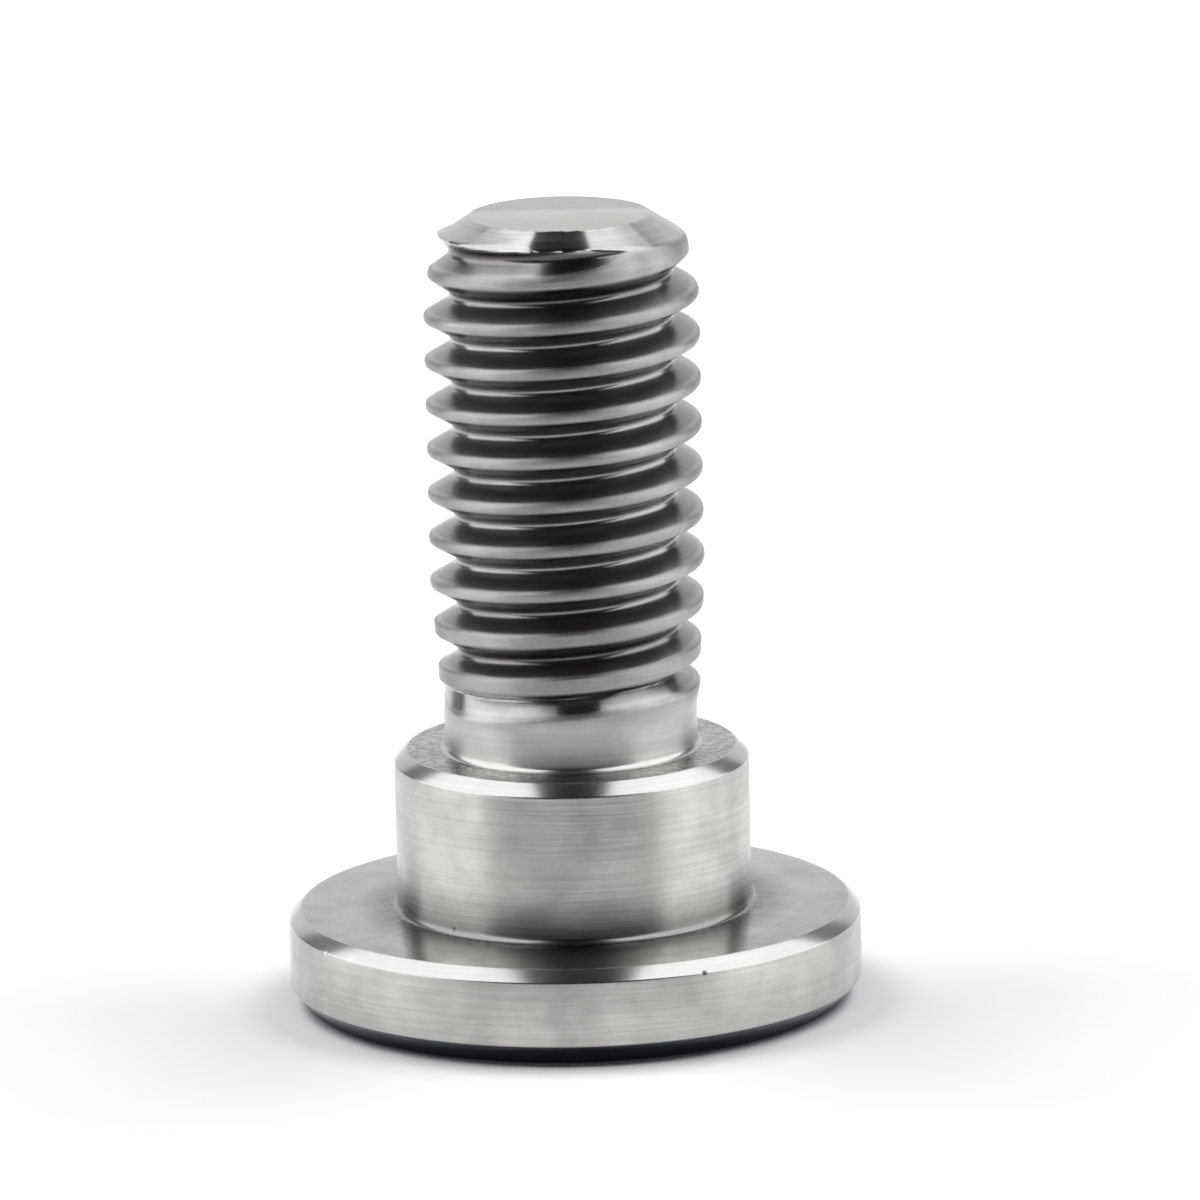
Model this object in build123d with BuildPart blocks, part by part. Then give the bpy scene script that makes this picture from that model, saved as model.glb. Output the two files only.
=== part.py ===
"""Low-head shoulder bolt, turned from one bar, with a rolled M8 x 1.25 right-hand thread.

The bolt stands on its head. The Z axis is its axis, z = 0 is the outer face of the head, and the
thread points to +Z. All sizes are in millimetres, all angles in degrees unless a name says turns.
"""

import os
from math import ceil, cos, pi, radians, sin, tan

from build123d import *

# Head: a low cylinder with a chamfer on both edges
HEAD_DIAMETER = 16.0
HEAD_HEIGHT = 2.72
HEAD_SEAT_CHAMFER = 0.33  # edge beside the bearing face
HEAD_FACE_CHAMFER = 0.59  # edge beside the outer face

# Shoulder: the cylinder that the mating part turns on
SHOULDER_DIAMETER = 9.9
SHOULDER_LENGTH = 4.5
SHOULDER_CHAMFER = 0.35
CORNER_BEVEL = 0.15  # the tool's mark in the inside corners at the foot of the shoulder and of the neck

# Thread: M8 x 1.25, single start, right-hand
THREAD_DIAMETER = 7.68  # over the full crests
THREAD_PITCH = 1.25
FLANK_ANGLE = 60.0  # between the two flanks of a groove
CREST_FLAT = 0.2
ROOT_FLAT = 0.2
LENGTH_BELOW_HEAD = 19.58  # from the bearing face to the tip
TIP_DIAMETER = 5.0  # flat end face
TIP_CONE_HEIGHT = 0.65

# Neck: the unrolled blank between the shoulder and the thread
NECK_DROP = 0.315  # of its surface, below a full crest
NECK_LENGTH = 1.73  # up to the lowest crest
FIRST_ROOT_RISE = 0.54  # from there to the lowest full root, which is on the +X side

# The rolling dies leave the crests lower at both ends of the thread
FOOT_CREST_DROP = 0.2  # of the lowest crest, below a full one
FOOT_CREST_WIDTH = 0.6
FOOT_FLARE = 0.55  # height over which the neck widens to that crest
FOOT_TAPER = 2.6  # height over which the crests fill out above it
LEAD_CREST_DROP = 0.34  # where the tip's cone begins
LEAD_TAPER = 1.6  # height over which the crests fall off to it

# Run-out, where the groove comes up out of the neck
RUNOUT_LEAD = 1.55  # it falls faster than the thread does
RUNOUT_TURNS = 0.5
RUNOUT_FULL_TURNS = 0.32  # of those, cut to the full depth
RUNOUT_STATIONS = 13
CUT_CLEARANCE = 0.1  # how far the cutting shapes reach outside the metal

# Drive: hexagon socket in the outer face of the head
HEX_ACROSS_FLATS = 5.0
HEX_DEPTH = 3.0
HEX_LEAD_IN = 0.25  # countersink around the hexagon's corners
DRILL_POINT_ANGLE = 118.0
DRILL_WEB = 0.5  # small flat that the drill's chisel edge leaves at the bottom

# Heights along the axis
shoulder_end = HEAD_HEIGHT + SHOULDER_LENGTH
foot_crest = shoulder_end + NECK_LENGTH
first_root = foot_crest + FIRST_ROOT_RISE
tip = HEAD_HEIGHT + LENGTH_BELOW_HEAD
cone_start = tip - TIP_CONE_HEIGHT

# Radii of the thread, with a groove as deep as its flanks and flats make it
flank_slope = tan(radians(FLANK_ANGLE / 2))
crest_radius = THREAD_DIAMETER / 2
thread_depth = (THREAD_PITCH - CREST_FLAT - ROOT_FLAT) / (2 * flank_slope)
root_radius = crest_radius - thread_depth
neck_radius = crest_radius - NECK_DROP

# Hexagon socket, drilled out as wide as its flats before it is broached
hex_corner_radius = HEX_ACROSS_FLATS / 2 / cos(pi / 6)
point_height = (HEX_ACROSS_FLATS - DRILL_WEB) / 2 / tan(radians(DRILL_POINT_ANGLE / 2))

# Edges of the shoulder's end face, which has to leave room for both
end_face_width = SHOULDER_DIAMETER / 2 - neck_radius
shoulder_chamfer = min(SHOULDER_CHAMFER, end_face_width / 2)
neck_corner = min(CORNER_BEVEL, end_face_width / 4)


def rings(solid, radius, height):
    """Circular edges of one radius at one height."""
    level = solid.edges().filter_by(GeomType.CIRCLE).filter_by_position(Axis.Z, height, height)
    return level.filter_by(lambda edge: abs(edge.radius - radius) < 1e-6)


def groove_outline(root, height):
    """Closed outline of the thread's groove, with its root at one radius and height."""
    outside = crest_radius + CUT_CLEARANCE
    half_mouth = ROOT_FLAT / 2 + (outside - root) * flank_slope
    Polyline(
        (outside, height - half_mouth),
        (root, height - ROOT_FLAT / 2),
        (root, height + ROOT_FLAT / 2),
        (outside, height + half_mouth),
        close=True,
    )


# One turn of the thread's groove, which starts on the +X side and rises as it turns
with BuildPart() as groove_turn:
    with BuildLine():
        Helix(pitch=THREAD_PITCH, height=THREAD_PITCH, radius=root_radius, center=(0, 0, first_root))
    with BuildSketch(Plane.XZ):
        with BuildLine():
            groove_outline(root_radius, first_root)
        make_face()
    sweep(is_frenet=True)

# The run-out goes on from the foot of the first turn, falls faster and fades into the neck
with BuildPart() as groove_runout:
    fade_turns = RUNOUT_TURNS - RUNOUT_FULL_TURNS
    fade_rise = crest_radius + CUT_CLEARANCE / 2 - root_radius
    for station in range(RUNOUT_STATIONS):
        turn = RUNOUT_TURNS * station / (RUNOUT_STATIONS - 1)
        fade = max(0, turn - RUNOUT_FULL_TURNS) / fade_turns
        outward = (cos(2 * pi * turn), -sin(2 * pi * turn), 0)
        backward = (-sin(2 * pi * turn), -cos(2 * pi * turn), 0)
        with BuildSketch(Plane(origin=(0, 0, 0), x_dir=outward, z_dir=backward)):
            with BuildLine():
                groove_outline(root_radius + fade_rise * fade**2, first_root - RUNOUT_LEAD * turn)
            make_face()
    loft()

# Hexagon socket with a drill point at its bottom and a countersunk mouth
with BuildPart() as hex_socket:
    with BuildSketch():
        RegularPolygon(HEX_ACROSS_FLATS / 2, 6, major_radius=False)
    extrude(amount=HEX_DEPTH)
    with BuildSketch(Plane.XY.offset(HEX_DEPTH)):
        Circle(HEX_ACROSS_FLATS / 2)
    with BuildSketch(Plane.XY.offset(HEX_DEPTH + point_height)):
        Circle(DRILL_WEB / 2)
    loft()
    with BuildSketch():
        Circle(hex_corner_radius + HEX_LEAD_IN)
    extrude(amount=hex_corner_radius + HEX_LEAD_IN, taper=45)

with BuildPart() as shoulder_bolt:
    # The blank: head, shoulder, neck and the outline that the crests reach
    with BuildSketch(Plane.XZ):
        with BuildLine():
            Polyline(
                (0, 0),
                (HEAD_DIAMETER / 2, 0),
                (HEAD_DIAMETER / 2, HEAD_HEIGHT),
                (SHOULDER_DIAMETER / 2, HEAD_HEIGHT),
                (SHOULDER_DIAMETER / 2, shoulder_end),
                (neck_radius, shoulder_end),
                (neck_radius, foot_crest - FOOT_FLARE),
                (crest_radius - FOOT_CREST_DROP, foot_crest),
                (crest_radius - FOOT_CREST_DROP, foot_crest + FOOT_CREST_WIDTH),
                (crest_radius, foot_crest + FOOT_CREST_WIDTH + FOOT_TAPER),
                (crest_radius, cone_start - LEAD_TAPER),
                (crest_radius - LEAD_CREST_DROP, cone_start),
                (TIP_DIAMETER / 2, tip),
                (0, tip),
                close=True,
            )
        make_face()
    revolve(axis=Axis.Z)
    chamfer(rings(shoulder_bolt, HEAD_DIAMETER / 2, 0), HEAD_FACE_CHAMFER)
    chamfer(rings(shoulder_bolt, HEAD_DIAMETER / 2, HEAD_HEIGHT), HEAD_SEAT_CHAMFER)
    chamfer(rings(shoulder_bolt, SHOULDER_DIAMETER / 2, shoulder_end), shoulder_chamfer)
    chamfer(rings(shoulder_bolt, SHOULDER_DIAMETER / 2, HEAD_HEIGHT), CORNER_BEVEL)
    chamfer(rings(shoulder_bolt, neck_radius, shoulder_end), neck_corner)

    add(hex_socket.part, mode=Mode.SUBTRACT)

    # The thread, turn by turn, until the groove leaves the tip
    turn_count = ceil((tip - first_root) / THREAD_PITCH)
    with Locations(*[(0, 0, THREAD_PITCH * turn) for turn in range(turn_count)]):
        add(groove_turn.part, mode=Mode.SUBTRACT)
    add(groove_runout.part, mode=Mode.SUBTRACT)

shoulder_bolt.part.label = "shoulder_bolt"

os.makedirs("parts", exist_ok=True)
export_step(shoulder_bolt.part, "parts/shoulder_bolt.step")
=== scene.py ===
"""Shoulder bolt of stainless steel, standing on its head on a white sweep.

The bolt is one turned and thread-rolled piece. Its mesh is made in millimetres and scaled to metres
at the end. The axis is Z, the head's outer face is z = 0, and angles run round Z from the +X side.
"""

from math import atan2, cos, degrees, exp, hypot, pi, radians, sin, tan

import bmesh
import bpy
from mathutils import Matrix, Vector


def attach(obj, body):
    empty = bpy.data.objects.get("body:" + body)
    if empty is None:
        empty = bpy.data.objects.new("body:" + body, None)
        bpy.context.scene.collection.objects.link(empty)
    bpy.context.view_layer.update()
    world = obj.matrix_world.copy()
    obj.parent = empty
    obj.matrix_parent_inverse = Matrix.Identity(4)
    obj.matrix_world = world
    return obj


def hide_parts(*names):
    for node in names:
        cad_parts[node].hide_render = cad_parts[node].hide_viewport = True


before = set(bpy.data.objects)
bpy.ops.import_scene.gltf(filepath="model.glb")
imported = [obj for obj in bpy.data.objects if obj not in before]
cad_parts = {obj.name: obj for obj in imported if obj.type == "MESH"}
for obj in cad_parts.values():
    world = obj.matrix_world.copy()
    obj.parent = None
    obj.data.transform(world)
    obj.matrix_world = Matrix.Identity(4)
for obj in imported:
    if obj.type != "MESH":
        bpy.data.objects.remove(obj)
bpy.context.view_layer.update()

MM = 0.001

# ---------------------------------------------------------------------------------------------
# Sizes of the bolt, in millimetres
# ---------------------------------------------------------------------------------------------

# Head, with a chamfer on both edges
HEAD_RADIUS = 8.0
HEAD_HEIGHT = 2.72
HEAD_SEAT_CHAMFER = 0.33
HEAD_FACE_CHAMFER = 0.59

# Shoulder and neck
SHOULDER_RADIUS = 4.95
SHOULDER_END = 7.22
SHOULDER_CHAMFER = 0.35
NECK_RADIUS = 3.525
CORNER_RADIUS = 0.2  # inside corners, left by the nose of the turning tool
EDGE_BREAK = 0.04  # what tumbling takes off the sharp edges

# Thread: M8 x 1.25, right-hand
PITCH = 1.25
CREST_RADIUS = 3.84
CREST_FLAT = 0.2
ROOT_RADIUS = 3.104
ROOT_FLAT = 0.2
FLANK_SLOPE = tan(radians(30))  # a flank's rise along the axis, over its reach
CREST_ROUNDING = 0.09
ROOT_ROUNDING = 0.1
FIRST_ROOT = 9.49  # height of the lowest full root, on the +X side

# The blank under the thread: the rolling dies leave the crests lower at its foot and at the tip
FOOT_START = 8.4
FOOT_CREST = 8.95
FOOT_CREST_END = 9.55
FOOT_CREST_RADIUS = 3.64
FULL_CREST_START = 12.15
LEAD_START = 20.05
LEAD_CREST_LOSS = 0.44  # share of the thread's depth that is missing where the cone starts
CONE_START = 21.65
CONE_RADIUS = 3.5
TIP = 22.3
TIP_RADIUS = 2.5
BLANK_ROUNDING = 0.08
BLEND = 0.05  # rounds the edge where the thread meets the blank
BLANK = (
    (FOOT_START, NECK_RADIUS),
    (FOOT_CREST, FOOT_CREST_RADIUS),
    (FOOT_CREST_END, FOOT_CREST_RADIUS),
    (FULL_CREST_START, CREST_RADIUS),
    (LEAD_START, CREST_RADIUS),
    (CONE_START, CONE_RADIUS),
    (TIP, TIP_RADIUS),
)

# Run-out of the thread into the neck, in turns back from the lowest full root. The groove's upper flank
# keeps to the thread. Its lower one lies down flat and falls away faster, until the groove is gone.
RUNOUT_FLAT_BY = 0.15
RUNOUT_LEAD = 2.35
RUNOUT_TILT = 0.6  # of the flat flank: how much the reach shrinks over a height
RUNOUT_FADE = (0.38, 0.55)  # between these turns the flank comes upright
RUNOUT_END = (0.5, 0.65)  # and between these it fills up

# The lowest turns sit a little below their place
DROOP = 0.08
DROOP_HEIGHT = 9.8
DROOP_SPAN = 1.0

# Lead end, in turns up from the lowest full root: the groove fades out on the tip's cone
LAST_FULL_TURN = 9.72
LAST_TURN = 9.9

# The rolling throws up a lip above the last of the groove
LIP_TURN = 9.5
LIP_TURNS = 0.13  # to each side of it
LIP_RISE = 0.16
LIP_ABOVE_ROOT = 0.4
LIP_WIDTH = 0.12

# Hexagon socket in the head's outer face
HEX_APOTHEM = 2.5
HEX_DEPTH = 3.0
HEX_MOUTH_RADIUS = 3.137
DRILL_RADIUS = 2.46
DRILL_POINT_HEIGHT = 1.35
DRILL_WEB_RADIUS = 0.25

# Fineness of the mesh
ROUND_STEPS = 192
THREAD_TURNS = 14  # turns of endless thread, from below the neck's foot to past the tip
GRID_START = FIRST_ROOT - 3 * PITCH
NECK_JOINT = 7.6  # where the threaded grid is joined to the turned part
FLANK_CUTS = 7
ROUNDING_SEGMENTS = 4
CORNER_SEGMENTS = 8
EDGE_SEGMENTS = 3
SEAM = 0.002  # points of two turns that lie closer than this are one
CUT_SNAP = 0.0001
LEVEL = 0.001  # how far from a height a point still counts as at it
SHARP_ANGLE = radians(40)

# ---------------------------------------------------------------------------------------------
# Surfaces, in millimetres, or per millimetre where a name says scale
# ---------------------------------------------------------------------------------------------

# A normal's share along the axis
FACED_NORMAL = 0.95  # a faced surface has more than this
TURNED_NORMAL = 0.3  # and a cylinder less than this

# Noise counts as nothing at the first of these values, and as full at the second
NOISE_SPAN = (0.35, 0.65)
ROUGHNESS_SPAN = (0.3, 0.7)
ROUGHNESS_SPREAD = 0.1  # to each side
SLOW_SCALE = 0.3  # change of the tool marks round the axis
STAIN_SCALE = 0.7
ACROSS_MARKS = 0.25  # of a turn: the marks spread a reflection across themselves

# Nicks at the foot of the shoulder and on the head's upper edge, drawn only in colour: place, and how dark
# each is; those above 1 are painted glints
NICKS_AND_GLINTS = (
    ((-3.4, -3.68, 2.9), 0.2),
    ((3.52, -7.18, 2.4), 0.2),
    ((-6.95, -3.96, 2.4), 1.5),
    ((-6.27, -4.96, 2.42), 1.5),
)
NICK_RADIUS = 0.1

# Painted shade in the corner at the foot of the shoulder, by distance from the corner
PAINTED_SHADE_END = 1.3
PAINTED_SHADE_FULL = 0.3
PAINTED_CORNER_SHADE = 0.5

# Galled crumbs of metal on the bearing faces. Each pair of limits goes from none to full.
CRUMB_SCALE = 4.0
CRUMB_SPAN = (0.48, 0.56)
GALLED_OUTSIDE = (5.9, 5.15)  # reach: next to the shoulder
GALLED_INSIDE = (3.0, 3.5)  # reach: not in the socket
GALLED_HEIGHTS = (HEAD_HEIGHT - 0.5, HEAD_HEIGHT - 0.2)  # not on the outer face
GALLED_SHADE = 0.6
GALLED_RISE = 2.5  # over that of a tool mark

# Scratches, drawn 2 mm long and 0.07 mm thick: real ones are thinner and wouldn't show
SCRATCH_SCALE = (0.5, 14.0, 0.5)
SCRATCH_SPAN = (0.6, 0.7)
SCRATCH_ANGLES = (0.5, 2.1)  # radians round the axis

# Rolled surface, by depth below the crests: painted shade in the grooves, and a shine from the dies
GROOVE_SHADE_ON_CREST = 0.15
GROOVE_SHADE_DEPTHS = (0.05, 0.22)  # the painted shade goes from none to full
ROOT_LIGHTENING_DEPTHS = (0.64, CREST_RADIUS - ROOT_RADIUS)  # and is lighter towards the root
GROOVE_SHADE_AT_ROOT = 0.5
GROOVE_SHADE_ON_UPPER_FLANKS = 0.55  # it is lighter on the flanks that face the tip, which face up towards the light
UPPER_FLANK_NORMAL = (-1 / 3, 1 / 3)
RUNOUT_UNSHADED = (0.28, 0.33)  # turns back from the lowest full root between which the painted shade ends
GROOVE_SHINE = 0.77  # of the cone's
NECK_SHINE = 0.5
NECK_FINISH = (8.5, 8.9)  # heights between which the turned finish gives way to the rolled one
CUT_EDGE = 0.1  # height over which the cone's cut finish begins
CUT_ROUGHNESS = 0.3  # of the cone, as a share of that of the crests

# ---------------------------------------------------------------------------------------------
# Stage, in metres
# ---------------------------------------------------------------------------------------------

FLOOR_SIZE = 3.0

# Two softboxes lean over the bolt from the left and the right, with a gap overhead
SOFTBOX_PLACE = (0.308, -0.05, 0.226)
SOFTBOX_FACING = (-1.175, -0.159, -1.0)
SOFTBOX_SIZE = (0.52, 0.593)
SOFTBOX_GLOW = 1.7

# The lamps behind them stand higher and a little to the back
LAMP_PLACE = (0.3, 0.12, 0.5)
LAMP_SIZE = (0.5, 0.3)
LAMP_POWER = 2.75

# Room round them, with a black ceiling that ends behind the bolt
ROOM_RADIUS = 1.0
ROOM_HEIGHT = 0.9
CEILING_END = 0.35
PAPER_END = radians(35)  # from straight back, to each side
GREY_END = radians(70)
ROOM_WALLS = 72

AMBIENT_LIGHT = 0.02
BACKDROP_LIGHT = 1.0

# Camera: a long lens from a little above, held a little askew, with its angles in radians
CAMERA_DISTANCE = 0.34668
CAMERA_DROP = 0.219566  # below the horizon
CAMERA_AIM = 0.012877  # height that it looks at
CAMERA_YAW = -0.002563
CAMERA_PITCH = -0.004383
CAMERA_ROLL = 0.022742
SENSOR_WIDTH = 36.0  # in millimetres
FOCAL_SHARE = 10.386  # focal length over the sensor's width
CLIP_START = 0.01
CLIP_END = 10.0


# ---------------------------------------------------------------------------------------------
# Materials
# ---------------------------------------------------------------------------------------------


def linear(hex_colour):
    """An sRGB hex colour as linear RGBA."""
    channels = [int(hex_colour[i : i + 2], 16) / 255 for i in (1, 3, 5)]
    return [c / 12.92 if c <= 0.04045 else ((c + 0.055) / 1.055) ** 2.4 for c in channels] + [1.0]


def add(tree, kind, inputs=(), output=0, **settings):
    """Adds a node with its settings, and gives back one of its outputs.

    The inputs come in the node's own order, or by name or number. Each is linked or set to a value.
    """
    node = tree.nodes.new("ShaderNode" + kind)
    for name, value in settings.items():
        setattr(node, name, value)
    numbered_or_named = inputs.items() if isinstance(inputs, dict) else enumerate(inputs)
    for socket, source in numbered_or_named:
        if isinstance(source, bpy.types.NodeSocket):
            tree.links.new(source, node.inputs[socket])
        else:
            node.inputs[socket].default_value = source
    return node.outputs[output] if node.outputs else None


def new_material(name):
    """A material with nothing in it, and its node tree."""
    material = bpy.data.materials.new(name)
    material.use_nodes = True
    material.node_tree.nodes.clear()
    return material, material.node_tree


def tool_marks(tree, in_mm, profile, feed):
    """Rings a feed apart: a noise that changes fast from ring to ring and slowly round the axis."""
    rings = add(tree, "VectorMath", (profile, (1 / feed, 1 / feed, 0.0)), operation="MULTIPLY")
    slow = add(tree, "VectorMath", (in_mm, (SLOW_SCALE,) * 3), operation="MULTIPLY")
    place = add(tree, "VectorMath", (rings, slow), operation="ADD")
    return add(tree, "TexNoise", {"Vector": place, "Scale": 1.0, "Detail": 3.0, "Roughness": 0.6})


def galling(tree, in_mm, reach, height):
    """Crumbs of smeared metal next to the shoulder and the neck, from 0 to 1."""
    crumbs = add(tree, "TexNoise", {"Vector": in_mm, "Scale": CRUMB_SCALE, "Detail": 4.0, "Roughness": 0.7})
    galled = add(tree, "MapRange", (crumbs, *CRUMB_SPAN))
    for place, limits in ((reach, GALLED_OUTSIDE), (height, GALLED_HEIGHTS), (reach, GALLED_INSIDE)):
        within = add(tree, "MapRange", (place, *limits))
        galled = add(tree, "Math", (galled, within), operation="MULTIPLY")
    return galled


def scratches(tree, in_mm):
    """Sparse straight scratches in two directions, from 0 to 1."""
    ways = []
    for angle in SCRATCH_ANGLES:
        along = add(tree, "Mapping", {"Vector": in_mm, "Rotation": (0.0, 0.0, angle), "Scale": SCRATCH_SCALE})
        noise = add(tree, "TexNoise", {"Vector": along, "Scale": 1.0, "Detail": 2.0})
        ways.append(add(tree, "MapRange", (noise, *SCRATCH_SPAN)))
    return add(tree, "Math", ways, operation="MAXIMUM")


def steel(
    name, colour, roughness, feed, mark_depth, mark_shade, stain_shade,
    streak=0.8, scratch_roughness=0.0, groove_shade_colour=None,
):
    """Bare stainless steel with tool marks that run round the axis.

    The feed and the marks' depth are in millimetres. The shades say how much the marks and the stains
    darken it, and the streak says how far the marks draw out a reflection. Scratches and galling come
    with a scratch roughness. A colour of painted shade is for a piece with the attributes shine and one for
    painted shade in the grooves, and is mixed in where that is high.
    """
    material, tree = new_material(name)
    object_place = add(tree, "TexCoord", output="Object")
    in_mm = add(tree, "Mapping", {"Vector": object_place, "Scale": (1 / MM,) * 3})
    height = add(tree, "SeparateXYZ", (in_mm,), output="Z")
    from_axis = add(tree, "VectorMath", (in_mm, (1.0, 1.0, 0.0)), operation="MULTIPLY")
    reach = add(tree, "VectorMath", (from_axis,), output="Value", operation="LENGTH")
    profile = add(tree, "CombineXYZ", (reach, height))

    marks = tool_marks(tree, in_mm, profile, feed)
    stains = add(tree, "TexNoise", {"Vector": in_mm, "Scale": STAIN_SCALE, "Detail": 3.0, "Roughness": 0.6})
    roughest, smoothest = roughness * (1 + ROUGHNESS_SPREAD), roughness * (1 - ROUGHNESS_SPREAD)
    rough = add(tree, "MapRange", (stains, *ROUGHNESS_SPAN, roughest, smoothest))
    corner = (SHOULDER_RADIUS, HEAD_HEIGHT, 0.0)
    from_corner = add(tree, "VectorMath", (profile, corner), output="Value", operation="DISTANCE")
    shades = [
        add(tree, "MapRange", (marks, *NOISE_SPAN, 1 - mark_shade, 1.0)),
        add(tree, "MapRange", (stains, *NOISE_SPAN, 1 - stain_shade, 1.0)),
        # painted shade: darker near the corner at the foot of the shoulder, on every finish
        add(tree, "MapRange", (from_corner, PAINTED_SHADE_END, PAINTED_SHADE_FULL, 1.0, PAINTED_CORNER_SHADE)),
    ]
    # Darker spots for the nicks, and brighter spots that are painted glints
    for nick_place, spot_tone in NICKS_AND_GLINTS:
        distance = add(tree, "VectorMath", (in_mm, nick_place), output="Value", operation="DISTANCE")
        shades.append(add(tree, "MapRange", (distance, NICK_RADIUS, NICK_RADIUS / 2, 1.0, spot_tone)))

    if scratch_roughness:
        galled = galling(tree, in_mm, reach, height)
        shades.append(add(tree, "MapRange", (galled, 0.0, 1.0, 1.0, GALLED_SHADE)))
        raised = add(tree, "Math", (galled, GALLED_RISE), operation="MULTIPLY")
        marks = add(tree, "Math", (marks, raised), operation="ADD")
        scratched = add(tree, "Math", (scratches(tree, in_mm), scratch_roughness), operation="MULTIPLY")
        rough = add(tree, "Math", (rough, scratched), operation="ADD")

    base = linear(colour)[:3]
    if groove_shade_colour:
        # Painted shade in the grooves of the thread, mixed into the colour
        groove_shade = add(tree, "Attribute", output="Fac", attribute_name="groove_shade")
        colours = {0: groove_shade, 6: linear(colour), 7: linear(groove_shade_colour)}
        base = add(tree, "Mix", colours, output=2, data_type="RGBA")
        shine = add(tree, "Attribute", output="Fac", attribute_name="shine")
        polish = add(tree, "MapRange", (shine, 0.0, 1.0, 1.0, CUT_ROUGHNESS))
        rough = add(tree, "Math", (rough, polish), operation="MULTIPLY")

    shade = shades[0]
    for next_shade in shades[1:]:
        shade = add(tree, "Math", (shade, next_shade), operation="MULTIPLY")
    base = add(tree, "VectorMath", {0: base, "Scale": shade}, operation="SCALE")

    round_axis = add(tree, "VectorMath", ((0.0, 0.0, 1.0), in_mm), operation="CROSS_PRODUCT")
    tangent = add(
        tree, "VectorTransform", (round_axis,),
        vector_type="VECTOR", convert_from="OBJECT", convert_to="WORLD",
    )
    shader = add(tree, "BsdfPrincipled", {
        "Base Color": base,
        "Metallic": 1.0,
        "Roughness": rough,
        "Anisotropic": streak,
        "Anisotropic Rotation": ACROSS_MARKS,
        "Tangent": add(tree, "VectorMath", (tangent,), operation="NORMALIZE"),
        "Normal": add(tree, "Bump", {"Strength": 1.0, "Distance": mark_depth * MM, "Height": marks}),
    })
    add(tree, "OutputMaterial", {"Surface": shader})
    return material


# Cylinders turned with a fine feed: satin, with rings that show
turned_steel = steel(
    "stainless_steel_turned", "#D2D0CC", roughness=0.32, feed=0.11, mark_depth=0.006,
    mark_shade=0.14, stain_shade=0.18,
)
# Chamfers cut with a form tool: nearly a mirror
chamfered_steel = steel(
    "stainless_steel_form_cut", "#C8C7C5", roughness=0.21, feed=0.1, mark_depth=0.001,
    mark_shade=0.05, stain_shade=0.06, streak=0.3,
)
# The same on the head's outer edge, darker and bluish: painted shade for the shadow under the head that this
# edge reflects
painted_shade_steel = steel(
    "stainless_steel_form_cut_painted_shade", "#787E86", roughness=0.21, feed=0.1, mark_depth=0.001,
    mark_shade=0.05, stain_shade=0.06, streak=0.3,
)
# Bearing faces: faced with a fine feed, then rubbed and scratched by the mating part
faced_steel = steel(
    "stainless_steel_faced", "#BCBDB9", roughness=0.11, feed=0.1, mark_depth=0.002,
    mark_shade=0.08, stain_shade=0.25, scratch_roughness=0.12,
)
# Tip face, parted off and tumbled: even and matt
parted_steel = steel(
    "stainless_steel_parted", "#D0D0CC", roughness=0.24, feed=0.1, mark_depth=0.001,
    mark_shade=0.04, stain_shade=0.06, streak=0.0,
)
# Thread pressed in by rolling dies: satin crests and burnished grooves, with painted shade in the grooves
rolled_steel = steel(
    "stainless_steel_rolled", "#C6C5C4", roughness=0.5, feed=0.12, mark_depth=0.002,
    mark_shade=0.11, stain_shade=0.15, groove_shade_colour="#3A3633",
)
BOLT_MATERIALS = (turned_steel, chamfered_steel, painted_shade_steel, faced_steel, parted_steel, rolled_steel)
TURNED, CHAMFERED, PAINTED_SHADE_EDGE, FACED, PARTED, ROLLED = range(6)


# ---------------------------------------------------------------------------------------------
# The bolt
# ---------------------------------------------------------------------------------------------


def wire(bm, points):
    """A chain of edges through points of the XZ plane, and its vertices."""
    verts = [bm.verts.new((x, 0.0, z)) for x, z in points]
    for pair in zip(verts, verts[1:]):
        bm.edges.new(pair)
    return verts


def round_corners(bm, verts, size, segments):
    """Rounds corners of a chain of edges."""
    bmesh.ops.bevel(
        bm, geom=verts, offset=size, offset_type="OFFSET", segments=segments,
        profile=0.5, affect="VERTICES", material=-1,
    )


def loose_chain(bm):
    """The vertices and edges that no face uses yet."""
    return [item for item in bm.verts[:] + bm.edges[:] if not item.link_faces]


def everything(bm):
    """All that a mesh holds."""
    return bm.verts[:] + bm.edges[:] + bm.faces[:]


def share(value, start, end):
    """How far a value has come from one end of a range to the other, from 0 to 1."""
    return min(1.0, max(0.0, (value - start) / (end - start)))


def soft_min(a, b, width):
    """The lesser of two lengths, with the corner between them rounded."""
    mix = min(1.0, max(0.0, 0.5 + (b - a) / (2 * width)))
    return b + (a - b) * mix - width * mix * (1 - mix)


def soft_max(a, b, width):
    """The greater of two lengths, with the corner between them rounded."""
    return -soft_min(-a, -b, width)


def blank_corner_reach(height):
    """How far out the blank reaches at a height, with sharp corners."""
    if height <= FOOT_START:
        return NECK_RADIUS
    # Above the tip the last of these, the cone, goes on
    for (low, start), (high, end) in zip(BLANK, BLANK[1:]):
        if height <= high:
            break
    return start + (end - start) * (height - low) / (high - low)


def blank_reach(height):
    """The same with its corners worn round."""
    around = (height - BLANK_ROUNDING, height, height + BLANK_ROUNDING)
    return sum(blank_corner_reach(level) for level in around) / 3


def flank_reach(from_root, root=ROOT_RADIUS):
    """Reach of a flank at a height from the middle of its root."""
    return root + (from_root - ROOT_FLAT / 2) / FLANK_SLOPE


def in_runout(turns_back, height):
    """Whether a place lies below the lowest full crest, where the groove runs out."""
    return height < FIRST_ROOT - PITCH * turns_back + PITCH / 2


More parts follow.
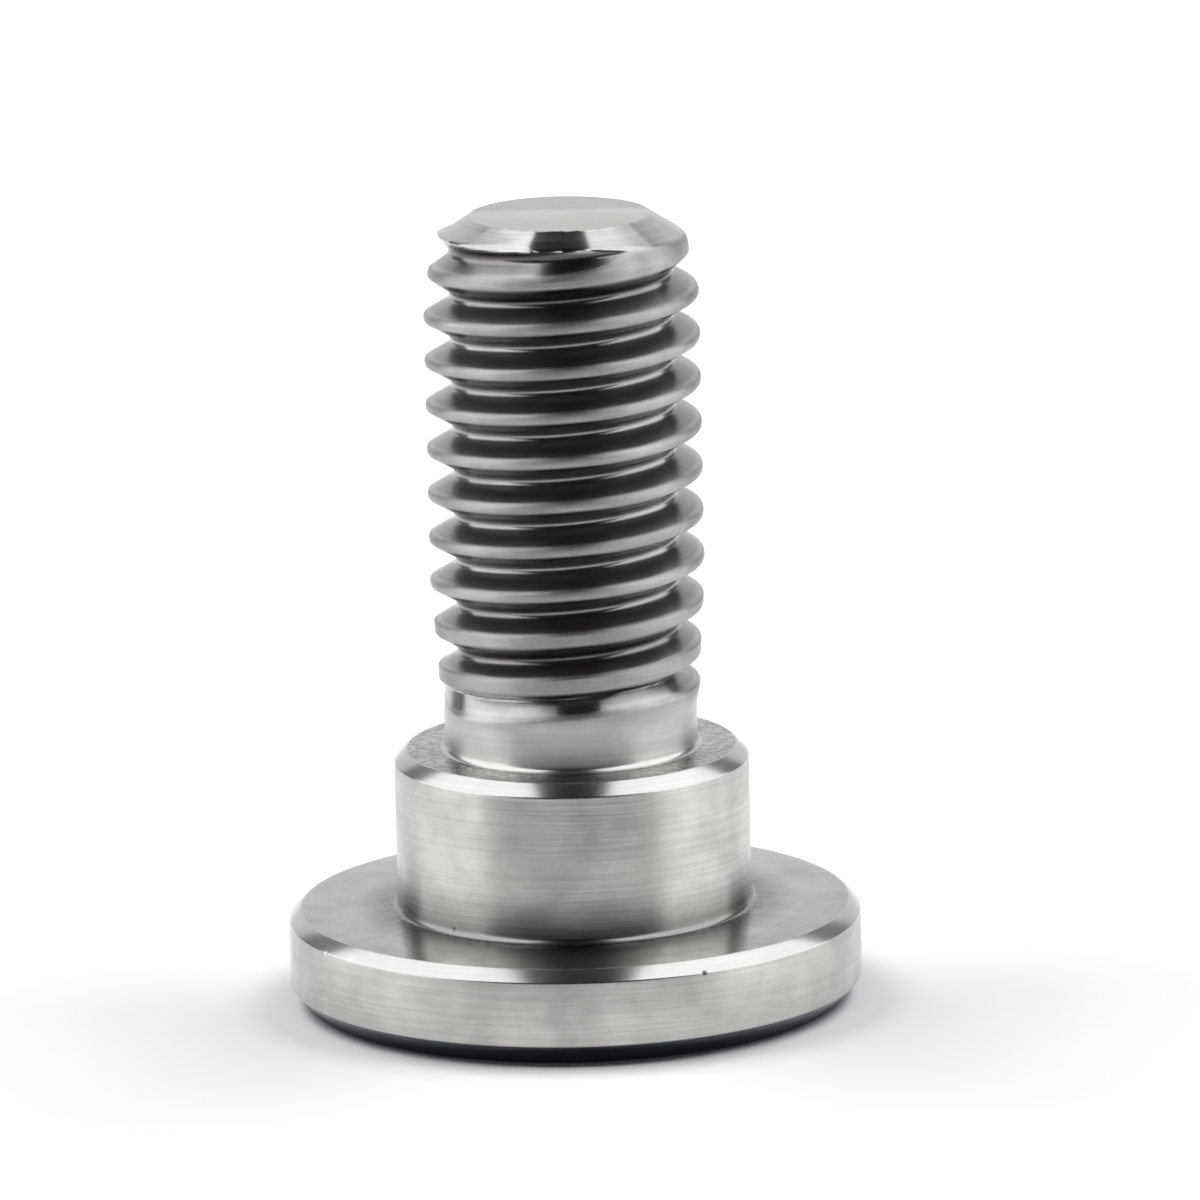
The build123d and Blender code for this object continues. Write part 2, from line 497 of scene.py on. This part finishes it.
def runout_reach(turns_back, height):
    """Reach of the run-out's groove."""
    above = height - (FIRST_ROOT - PITCH * turns_back)
    tilt = RUNOUT_TILT * (1 - share(turns_back, *RUNOUT_FADE))
    filled = (CREST_RADIUS - NECK_RADIUS) * share(turns_back, *RUNOUT_END)
    flat_flank = NECK_RADIUS + filled + tilt * (FIRST_ROOT - RUNOUT_LEAD * turns_back - height)
    flattened = share(turns_back, 0.0, RUNOUT_FLAT_BY)
    lower_flank = flank_reach(-above) * (1 - flattened) + flat_flank * flattened
    flanks = soft_max(flank_reach(above), lower_flank, ROOT_ROUNDING)
    return soft_max(ROOT_RADIUS, flanks, ROOT_ROUNDING / 2)


def fading_reach(turn, from_root):
    """Reach of the last of the groove, whose root comes up as it leaves the cone."""
    fade = share(turn, LAST_FULL_TURN, LAST_TURN)
    root = ROOT_RADIUS + (CREST_RADIUS - ROOT_RADIUS) * fade**2
    return soft_max(root, flank_reach(abs(from_root), root), ROOT_ROUNDING / 2)


def lip_rise(turn, from_root):
    """How far the lip above the groove stands out of the cone."""
    along = (turn - LIP_TURN) / LIP_TURNS
    across = (from_root - LIP_ABOVE_ROOT) / LIP_WIDTH
    return LIP_RISE * exp(-(along**2) - across**2)


def low_crest_reach(height, reach):
    """The dies fill the crests less and less towards the tip, and the profile keeps its shape."""
    if height < LEAD_START:
        return reach
    filled = 1 - LEAD_CREST_LOSS * (height - LEAD_START) / (CONE_START - LEAD_START)
    return ROOT_RADIUS + (reach - ROOT_RADIUS) * filled


def droop(height):
    """How far the thread sits below its place at a height."""
    return DROOP * exp(-(((height - DROOP_HEIGHT) / DROOP_SPAN) ** 2))


def thread_reach(angle, height, reach):
    """Reach of the threaded surface, from that of the endless thread, at an angle from -180 to 180."""
    above = height - (FIRST_ROOT + PITCH * angle / 360)
    nearest = round(above / PITCH)
    turn = nearest + angle / 360
    from_root = above - nearest * PITCH
    turns_back = -angle / 360 % 1
    if in_runout(turns_back, height):
        reach = runout_reach(turns_back, height)
    elif turn > LAST_FULL_TURN:
        reach = fading_reach(turn, from_root)
    reach = low_crest_reach(height, reach)
    return soft_min(reach, blank_reach(height) + lip_rise(turn, from_root), BLEND)


def threaded_part(bm):
    """The neck, the thread and the cone, on a grid that rises with the thread."""
    middle = GRID_START + PITCH / 2
    profile = [
        (ROOT_RADIUS, GRID_START),
        (ROOT_RADIUS, GRID_START + ROOT_FLAT / 2),
        (CREST_RADIUS, middle - CREST_FLAT / 2),
        (CREST_RADIUS, middle + CREST_FLAT / 2),
        (ROOT_RADIUS, GRID_START + PITCH - ROOT_FLAT / 2),
        (ROOT_RADIUS, GRID_START + PITCH),
    ]
    verts = wire(bm, profile)
    crest_corners = [verts[2], verts[3]]
    root_corners = [verts[1], verts[4]]
    round_corners(bm, crest_corners, CREST_ROUNDING, ROUNDING_SEGMENTS)
    round_corners(bm, root_corners, ROOT_ROUNDING, ROUNDING_SEGMENTS)
    flanks = [edge for edge in bm.edges if edge.calc_length() > 2 * CREST_FLAT]
    bmesh.ops.subdivide_edges(bm, edges=flanks, cuts=FLANK_CUTS)

    bmesh.ops.spin(
        bm, geom=loose_chain(bm), cent=(0, 0, 0), axis=(0, 0, 1),
        dvec=(0, 0, PITCH / ROUND_STEPS), angle=2 * pi, steps=ROUND_STEPS,
    )
    one_turn = everything(bm)
    for turn in range(1, THREAD_TURNS):
        copy = bmesh.ops.duplicate(bm, geom=one_turn)
        moved = [item for item in copy["geom"] if isinstance(item, bmesh.types.BMVert)]
        bmesh.ops.translate(bm, verts=moved, vec=(0, 0, PITCH * turn))
    bmesh.ops.remove_doubles(bm, verts=bm.verts[:], dist=SEAM)

    for vert in bm.verts:
        x, y, height = vert.co
        reach = hypot(x, y)
        new_reach = thread_reach(degrees(atan2(y, x)), height, reach)
        vert.co.x = x * new_reach / reach
        vert.co.y = y * new_reach / reach
        vert.co.z = height - droop(height)

    for level, side in ((NECK_JOINT, {"clear_inner": True}), (TIP, {"clear_outer": True})):
        bmesh.ops.bisect_plane(
            bm, geom=everything(bm), dist=CUT_SNAP, plane_co=(0, 0, level), plane_no=(0, 0, 1), **side
        )


def open_ring(bm, height):
    """The open edges at a height."""
    return [
        edge for edge in bm.edges
        if edge.is_boundary and all(abs(vert.co.z - height) < LEVEL for vert in edge.verts)
    ]


def turned_part(bm):
    """Head, shoulder and the neck's foot, turned on the lathe: a rounded profile, spun round the axis."""
    head_face = HEAD_RADIUS - HEAD_FACE_CHAMFER
    head_seat = HEAD_RADIUS - HEAD_SEAT_CHAMFER
    shoulder_face = SHOULDER_RADIUS - SHOULDER_CHAMFER
    profile = [
        (HEX_MOUTH_RADIUS, 0.0),
        (head_face, 0.0),
        (HEAD_RADIUS, HEAD_FACE_CHAMFER),
        (HEAD_RADIUS, HEAD_HEIGHT - HEAD_SEAT_CHAMFER),
        (head_seat, HEAD_HEIGHT),
        (SHOULDER_RADIUS, HEAD_HEIGHT),
        (SHOULDER_RADIUS, SHOULDER_END - SHOULDER_CHAMFER),
        (shoulder_face, SHOULDER_END),
        (NECK_RADIUS, SHOULDER_END),
        (NECK_RADIUS, NECK_JOINT),
    ]
    verts = wire(bm, profile)
    inside_corners = [verts[5], verts[8]]
    round_corners(bm, inside_corners, CORNER_RADIUS, CORNER_SEGMENTS)
    edge_corners = [vert for vert in verts[1:8] if vert.is_valid]
    round_corners(bm, edge_corners, EDGE_BREAK, EDGE_SEGMENTS)
    bmesh.ops.spin(
        bm, geom=loose_chain(bm), cent=(0, 0, 0), axis=(0, 0, 1),
        angle=2 * pi, steps=ROUND_STEPS, use_merge=True,
    )


def hex_reach(vert):
    """Reach of the hexagon's wall in the direction of a vertex."""
    turn = (atan2(vert.co.y, vert.co.x) % (pi / 3)) - pi / 6
    return HEX_APOTHEM / cos(turn)


def extrude_ring(bm, ring, reach, height):
    """Extrudes a ring of edges to a new reach and height, each a number or a rule for a vertex."""
    grown = bmesh.ops.extrude_edge_only(bm, edges=ring)["geom"]
    for vert in [item for item in grown if isinstance(item, bmesh.types.BMVert)]:
        new_reach = reach(vert) if callable(reach) else reach
        new_height = height(vert) if callable(height) else height
        scale = new_reach / hypot(vert.co.x, vert.co.y)
        vert.co = (vert.co.x * scale, vert.co.y * scale, new_height)
    return [item for item in grown if isinstance(item, bmesh.types.BMEdge)]


def hex_socket(bm):
    """Countersunk mouth, broached hexagon and drill point, from the open ring of the head's face."""
    ring = open_ring(bm, 0.0)
    ring = extrude_ring(bm, ring, hex_reach, lambda vert: HEX_MOUTH_RADIUS - hex_reach(vert))
    ring = extrude_ring(bm, ring, hex_reach, HEX_DEPTH)
    ring = extrude_ring(bm, ring, DRILL_RADIUS, HEX_DEPTH)
    ring = extrude_ring(bm, ring, DRILL_WEB_RADIUS, HEX_DEPTH + DRILL_POINT_HEIGHT)
    bmesh.ops.edgeloop_fill(bm, edges=ring)


def surface_of(face):
    """Index of the finish of a face."""
    centre = face.calc_center_median()
    reach, height = hypot(centre.x, centre.y), centre.z
    along_axis = abs(face.normal.z)
    if height > TIP - LEVEL:
        return PARTED
    if height > NECK_JOINT:
        return ROLLED
    if along_axis > FACED_NORMAL:
        return FACED
    if along_axis < TURNED_NORMAL:
        return TURNED
    # The head's outer edge gets the steel with painted shade
    on_outer_edge = reach > HEAD_RADIUS - HEAD_FACE_CHAMFER and height < HEAD_FACE_CHAMFER
    return PAINTED_SHADE_EDGE if on_outer_edge else CHAMFERED


def mark_rolled_surface(bm):
    """Notes at each vertex how much painted shade it gets in the grooves and how far it shines."""
    groove_shade = bm.verts.layers.float.new("groove_shade")
    shine = bm.verts.layers.float.new("shine")
    for vert in bm.verts:
        x, y, height = vert.co
        depth = blank_reach(height) - hypot(x, y)
        pressed = share(depth, *GROOVE_SHADE_DEPTHS)
        toward_root = share(depth, *ROOT_LIGHTENING_DEPTHS)
        facing_up = share(vert.normal.z, *UPPER_FLANK_NORMAL)
        in_groove = pressed * (1 - (1 - GROOVE_SHADE_AT_ROOT) * toward_root)
        kept = 1 - (1 - GROOVE_SHADE_ON_UPPER_FLANKS) * facing_up
        turns_back = -degrees(atan2(y, x)) / 360 % 1
        if in_runout(turns_back, height):
            kept *= 1 - share(turns_back, *RUNOUT_UNSHADED)
        cut = share(height, CONE_START, CONE_START + CUT_EDGE)
        turned = 1 - share(height, *NECK_FINISH)
        vert[groove_shade] = max(in_groove * kept, GROOVE_SHADE_ON_CREST * (1 - cut) * (1 - turned))
        vert[shine] = max(GROOVE_SHINE * min(1.0, 2 * in_groove), cut, NECK_SHINE * turned)


def make_bolt():
    """The whole bolt, as one closed mesh."""
    bm = bmesh.new()
    threaded_part(bm)
    turned_part(bm)
    bmesh.ops.bridge_loops(bm, edges=open_ring(bm, NECK_JOINT))
    hex_socket(bm)
    bmesh.ops.edgeloop_fill(bm, edges=open_ring(bm, TIP))
    bmesh.ops.recalc_face_normals(bm, faces=bm.faces[:])
    mark_rolled_surface(bm)
    for face in bm.faces:
        face.smooth = True
        face.material_index = surface_of(face)
    bmesh.ops.scale(bm, verts=bm.verts[:], vec=(MM, MM, MM))

    mesh = bpy.data.meshes.new("bolt")
    bm.to_mesh(mesh)
    bm.free()
    mesh.set_sharp_from_angle(angle=SHARP_ANGLE)
    for material in BOLT_MATERIALS:
        mesh.materials.append(material)
    piece = bpy.data.objects.new("bolt", mesh)
    bpy.context.collection.objects.link(piece)
    return piece


bolt = make_bolt()
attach(bolt, "root")
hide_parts("shoulder_bolt")


# ---------------------------------------------------------------------------------------------
# Floor, light and camera
# ---------------------------------------------------------------------------------------------


def stage_piece(bm, name, *materials):
    """An object that isn't part of the bolt."""
    mesh = bpy.data.meshes.new(name)
    bm.to_mesh(mesh)
    bm.free()
    for material in materials:
        mesh.materials.append(material)
    prop = bpy.data.objects.new(name, mesh)
    bpy.context.collection.objects.link(prop)
    return prop


def plain_sheet(name, size, place, facing, material):
    """A flat sheet of the stage."""
    bm = bmesh.new()
    turn = Vector(facing).to_track_quat("Z", "Y").to_matrix().to_4x4()
    turn.translation = place
    bmesh.ops.create_grid(bm, x_segments=1, y_segments=1, size=0.5)
    bmesh.ops.scale(bm, verts=bm.verts[:], vec=(size[0], size[1], 1))
    bmesh.ops.transform(bm, matrix=turn, verts=bm.verts[:])
    return stage_piece(bm, name, material)


def show_in_reflections_only(prop):
    """Hides a prop of the stage from the camera and the floor."""
    prop.visible_camera = False
    prop.visible_diffuse = False
    prop.visible_shadow = False


def glowing(name, colour, strength=1.0):
    """A material that gives off an even light."""
    material, tree = new_material(name)
    glow = add(tree, "Emission", {"Color": linear(colour), "Strength": strength})
    add(tree, "OutputMaterial", {"Surface": glow})
    return material


def painted(name, colour):
    """Matt paint."""
    material, tree = new_material(name)
    paint = add(tree, "BsdfDiffuse", {"Color": linear(colour)})
    add(tree, "OutputMaterial", {"Surface": paint})
    return material


def softbox(name, side):
    """A diffuser that shows in the metal, and the lamp behind it that lights the floor."""
    mirror = Matrix.Diagonal((side, 1, 1))
    place = mirror @ Vector(SOFTBOX_PLACE)
    facing = mirror @ Vector(SOFTBOX_FACING)
    diffuser = plain_sheet(name + "_diffuser", SOFTBOX_SIZE, place, facing, diffuser_cloth)
    show_in_reflections_only(diffuser)
    lamp = bpy.data.lights.new(name, "AREA")
    lamp.shape = "RECTANGLE"
    lamp.size, lamp.size_y = LAMP_SIZE
    lamp.energy = LAMP_POWER
    light = bpy.data.objects.new(name, lamp)
    light.location = mirror @ Vector(LAMP_PLACE)
    light.rotation_euler = light.location.to_track_quat("Z", "Y").to_euler()
    light.visible_glossy = False
    bpy.context.collection.objects.link(light)


def room_walls():
    """A round wall: white paper at the back, grey cloth beside it and black cloth round the front."""
    bm = bmesh.new()
    ring = bmesh.ops.create_circle(bm, segments=ROOM_WALLS, radius=ROOM_RADIUS)["verts"]
    rim = list({edge for vert in ring for edge in vert.link_edges})
    walls = bmesh.ops.extrude_edge_only(bm, edges=rim)["geom"]
    raised = [item for item in walls if isinstance(item, bmesh.types.BMVert)]
    bmesh.ops.translate(bm, verts=raised, vec=(0, 0, ROOM_HEIGHT))
    for face in bm.faces:
        centre = face.calc_center_median()
        from_back = abs(atan2(centre.x, centre.y))
        if from_back > GREY_END:
            face.material_index = 2
        elif from_back > PAPER_END:
            face.material_index = 1
    show_in_reflections_only(stage_piece(bm, "room_walls", white_paper, grey_cloth, black_cloth))


def ceiling():
    """A black sheet over the front of the room."""
    size = (2 * ROOM_RADIUS, ROOM_RADIUS + CEILING_END)
    place = (0, (CEILING_END - ROOM_RADIUS) / 2, ROOM_HEIGHT)
    show_in_reflections_only(plain_sheet("ceiling", size, place, (0, 0, -1), black_cloth))


def white_surroundings():
    """White where the camera or a reflection sees them, and nearly dark where they light the floor."""
    world = bpy.data.worlds.new("white_surroundings")
    world.use_nodes = True
    tree = world.node_tree
    tree.nodes.clear()
    seen = add(tree, "LightPath", output="Is Camera Ray")
    for kind in ("Is Glossy Ray", "Is Transmission Ray"):
        seen = add(tree, "Math", (seen, add(tree, "LightPath", output=kind)), operation="MAXIMUM")
    ambient = add(tree, "Background", {"Color": linear("#FFFFFF"), "Strength": AMBIENT_LIGHT})
    backdrop = add(tree, "Background", {"Color": linear("#FFFFFF"), "Strength": BACKDROP_LIGHT})
    add(tree, "OutputWorld", {"Surface": add(tree, "MixShader", (seen, ambient, backdrop))})
    return world


def long_lens_camera():
    """The camera, in front of the bolt and looking a little down."""
    lens = bpy.data.cameras.new("camera")
    lens.sensor_width = SENSOR_WIDTH
    lens.lens = FOCAL_SHARE * SENSOR_WIDTH
    lens.clip_start = CLIP_START
    lens.clip_end = CLIP_END
    camera = bpy.data.objects.new("camera", lens)
    back = CAMERA_DISTANCE * cos(CAMERA_DROP)
    up = CAMERA_AIM + CAMERA_DISTANCE * sin(CAMERA_DROP)
    aim = Matrix.Rotation(pi / 2 - CAMERA_DROP, 4, "X")
    yaw = Matrix.Rotation(CAMERA_YAW, 4, "Y")
    pitch = Matrix.Rotation(CAMERA_PITCH, 4, "X")
    roll = Matrix.Rotation(-CAMERA_ROLL, 4, "Z")
    camera.matrix_world = Matrix.Translation((0, -back, up)) @ aim @ yaw @ pitch @ roll
    bpy.context.collection.objects.link(camera)
    return camera


black_cloth = glowing("black_cloth", "#1E1E20")
grey_cloth = glowing("grey_cloth", "#808082")
white_paper = glowing("white_paper", "#EEEEEE")
diffuser_cloth = glowing("diffuser_cloth", "#FFFFFF", SOFTBOX_GLOW)
floor_paint = painted("white_sweep", "#F7F7F8")

plain_sheet("floor", (FLOOR_SIZE, FLOOR_SIZE), (0, 0, 0), (0, 0, 1), floor_paint)
room_walls()
ceiling()
softbox("softbox_left", -1)
softbox("softbox_right", 1)

bpy.context.scene.world = white_surroundings()
bpy.context.scene.camera = long_lens_camera()
bpy.context.scene.view_settings.view_transform = "Standard"
